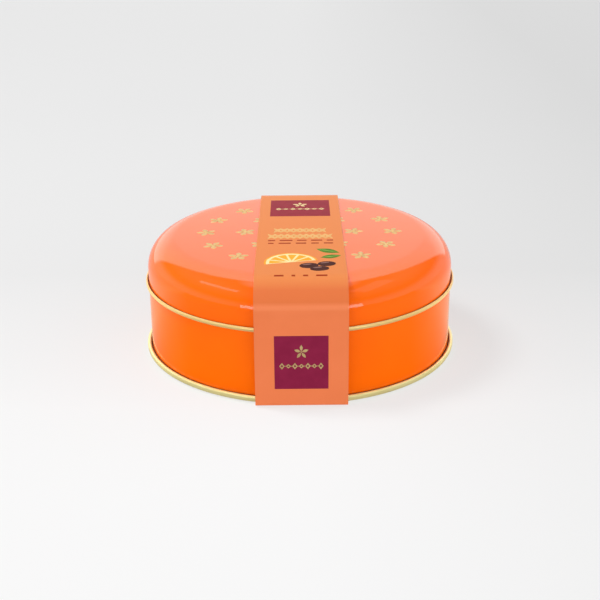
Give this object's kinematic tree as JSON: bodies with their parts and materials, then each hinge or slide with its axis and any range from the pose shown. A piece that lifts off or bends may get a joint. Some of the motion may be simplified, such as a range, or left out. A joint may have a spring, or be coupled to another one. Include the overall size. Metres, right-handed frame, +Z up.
{
  "type": "round confectionery gift tin with card sleeve",
  "caption": "Shut round tin with a rounded pressed lid, gold rolled edges and a card sleeve wrapped over the lid and under the base.",
  "frame": {"origin": "on the tin's axis, in the plane of the sleeve's underside that the pack rests on", "axes": "+Z up along the tin's axis, -Y towards the sleeve's printed front panel, X across the sleeve"},
  "size_m": [0.1568, 0.1582, 0.0586],
  "materials": {
    "orange_lacquer": "glossy orange lacquer on tinplate",
    "gold_tinplate": "polished gold-lacquered tinplate",
    "orange_card": "satin printed card",
    "maroon_print": "satin printed field",
    "gold_print": "gold foil print"
  },
  "bodies": {
    "root": {"lid": "orange_lacquer", "body": "orange_lacquer", "base": "gold_tinplate", "sleeve": "orange_card"}
  },
  "joints": []
}
